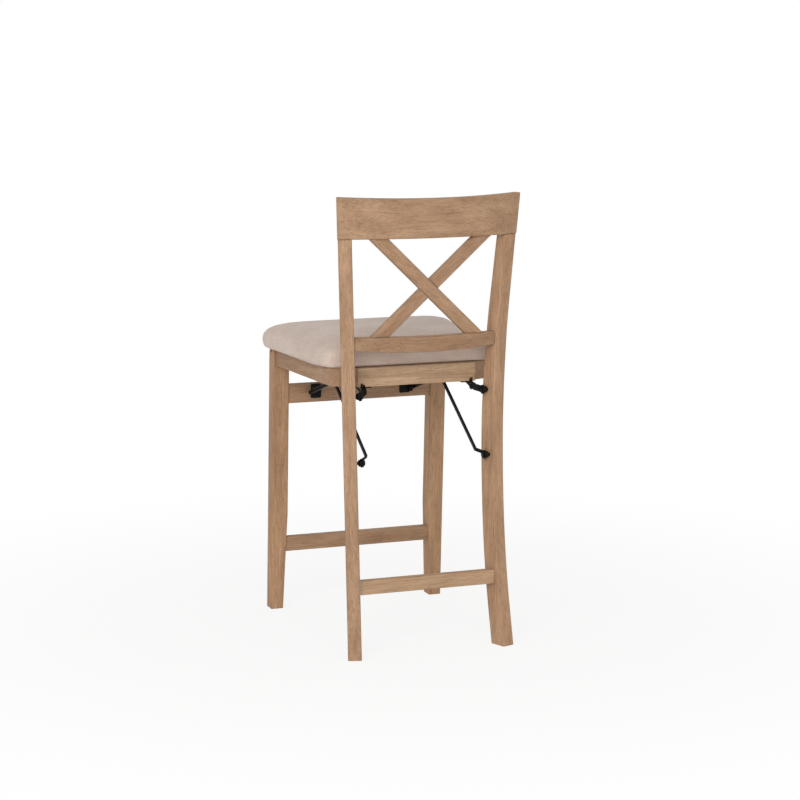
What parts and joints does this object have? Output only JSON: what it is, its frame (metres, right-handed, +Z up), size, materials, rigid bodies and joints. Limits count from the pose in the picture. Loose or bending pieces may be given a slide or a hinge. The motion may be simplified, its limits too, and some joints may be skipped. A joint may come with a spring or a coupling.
{
  "type": "folding bar stool",
  "caption": "Folding wooden bar stool with a crossed-slat back, padded seat, raked front legs and black steel folding hardware.",
  "frame": {"origin": "on the floor, under the centre of the box round the open stool", "axes": "+X to the sitter's left, +Y to the rear, +Z up"},
  "size_m": [0.5152, 0.5995, 1.1],
  "materials": {
    "wood": "weathered brown, satin, fine grain",
    "cloth": "plain woven, warm pale grey",
    "black_steel": "black satin",
    "board": "dark underside cloth"
  },
  "bodies": {
    "back_frame": {"rear_post_left": "wood", "rear_post_right": "wood", "crest_rail": "wood", "lower_back_rail": "wood", "cross_slat_rear": "wood", "cross_slat_front": "wood", "rear_stretcher": "wood", "hinge_arm_left": "black_steel", "hinge_arm_right": "black_steel", "arm_bolt_left": "black_steel", "arm_bolt_right": "black_steel", "brace_bolt_left": "black_steel", "brace_bolt_right": "black_steel"},
    "hinge_pins": {"hinge_pin_left": "black_steel", "hinge_pin_right": "black_steel"},
    "seat": {"side_rail_left": "wood", "side_rail_right": "wood", "front_rail": "wood", "rear_rail": "wood", "front_corner_block_left": "wood", "front_corner_block_right": "wood", "rear_corner_block_left": "wood", "rear_corner_block_right": "wood", "seat_board": "board", "seat_cushion": "cloth", "hinge_lug_left": "black_steel", "hinge_lug_right": "black_steel", "seat_plate_left": "black_steel", "seat_plate_right": "black_steel"},
    "leg_frame": {"front_leg_left": "wood", "front_leg_right": "wood", "leg_screw_left": "black_steel", "leg_screw_right": "black_steel", "front_cross_rail": "wood", "front_stretcher": "wood", "leg_plate_left": "black_steel", "leg_plate_right": "black_steel", "brace_catch_left": "black_steel", "brace_catch_right": "black_steel"},
    "braces": {"brace_left": "black_steel", "brace_right": "black_steel"}
  },
  "joints": [
    {"name": "seat_slide", "type": "slide", "parent": "back_frame", "child": "hinge_pins", "axis": [0, -0.9739, 0.2272], "range_m": [0, 0.123]},
    {"name": "seat_fold", "type": "hinge", "parent": "hinge_pins", "child": "seat", "pos_m": [0, 0.18646, 0.63], "axis": [-1, 0, 0], "range_deg": [0, 88]},
    {"name": "leg_fold", "type": "hinge", "parent": "seat", "child": "leg_frame", "pos_m": [0, -0.22265, 0.637], "axis": [1, 0, 0], "range_deg": [0, 93]},
    {"name": "brace_fold", "type": "hinge", "parent": "back_frame", "child": "braces", "pos_m": [0, 0.22246, 0.465], "axis": [1, 0, 0], "range_deg": [0, 96]}
  ],
  "couplings": [
    {"joint": "seat_slide", "follows": "seat_fold", "m_per_rad": 0.08},
    {"joint": "leg_fold", "follows": "seat_fold", "ratio": 1.0511},
    {"joint": "brace_fold", "follows": "seat_fold", "ratio": 1.0795}
  ]
}
